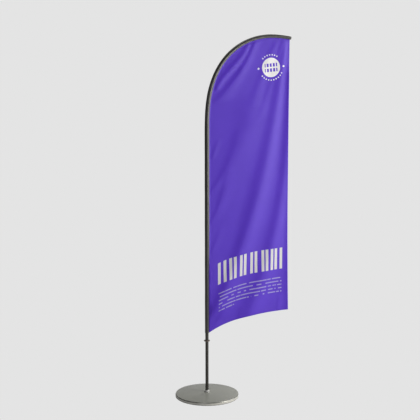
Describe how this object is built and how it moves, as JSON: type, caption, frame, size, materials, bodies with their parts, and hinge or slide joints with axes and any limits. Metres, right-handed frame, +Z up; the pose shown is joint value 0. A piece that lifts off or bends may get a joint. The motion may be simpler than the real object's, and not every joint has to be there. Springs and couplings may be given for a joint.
{
  "type": "feather flag",
  "caption": "Blade-shaped feather flag on a bent pole, standing in a ball-bearing swivel post on a round weighted foot plate.",
  "frame": {"origin": "centre of the foot plate's underside, on the pole's axis, on the floor", "axes": "+Z up along the pole, +X from the pole towards the flag's free edge, +Y square to the cloth"},
  "size_m": [0.8546, 0.45, 2.5597],
  "materials": {
    "plate_coat": "satin grey powder coat",
    "post_coat": "satin near-black powder coat",
    "dark_aluminium": "satin near-black anodised tube",
    "fibreglass": "satin black glass-fibre rod",
    "bright_steel": "turned, bright",
    "raw_steel": "dull, mill finish",
    "ring_plastic": "satin warm brown-grey moulding",
    "black_rubber": "matte moulded rubber",
    "sleeve_cloth": "woven elastic cloth, soft sheen",
    "flag_cloth": "printed knitted polyester, soft sheen"
  },
  "bodies": {
    "base": {"anti_slip_mat": "black_rubber", "ballast_disc": "raw_steel", "spacer_boss": "raw_steel", "base_cover": "plate_coat", "hub_flange": "plate_coat", "clamp_bolt": "bright_steel", "clamp_washer": "bright_steel", "post_insert": "raw_steel", "spindle_post": "post_coat", "bearing_seat": "raw_steel", "outer_race_lower": "bright_steel", "ball_cage_lower": "bright_steel", "outer_spacer": "raw_steel", "outer_race_upper": "bright_steel", "ball_cage_upper": "bright_steel", "retaining_ring": "bright_steel"},
    "rotor": {"inner_race_lower": "bright_steel", "inner_spacer": "raw_steel", "inner_race_upper": "bright_steel", "lock_nut": "bright_steel", "journal_shaft": "bright_steel", "stop_ring": "ring_plastic", "spigot_tube": "bright_steel", "spigot_pin": "raw_steel"},
    "pole": {"pole_bottom": "dark_aluminium", "pole_middle": "dark_aluminium", "pole_upper": "dark_aluminium", "pole_tip": "fibreglass", "stop_ferrule_1": "black_rubber", "stop_ferrule_2": "black_rubber", "stop_ferrule_3": "black_rubber", "tip_cap": "black_rubber", "pole_sleeve": "sleeve_cloth", "tip_pocket": "sleeve_cloth", "flag_panel": "flag_cloth", "side_hem": "flag_cloth", "bottom_hem": "flag_cloth", "tension_strap": "sleeve_cloth", "strap_stud": "bright_steel"}
  },
  "joints": [
    {"name": "flag_swivel", "type": "hinge", "parent": "base", "child": "rotor", "pos_m": [0, 0, 0.4], "axis": [0, 0, 1], "continuous": true},
    {"name": "pole_lift", "type": "slide", "parent": "rotor", "child": "pole", "axis": [0, 0, 1], "range_m": [0, 0.14]}
  ]
}
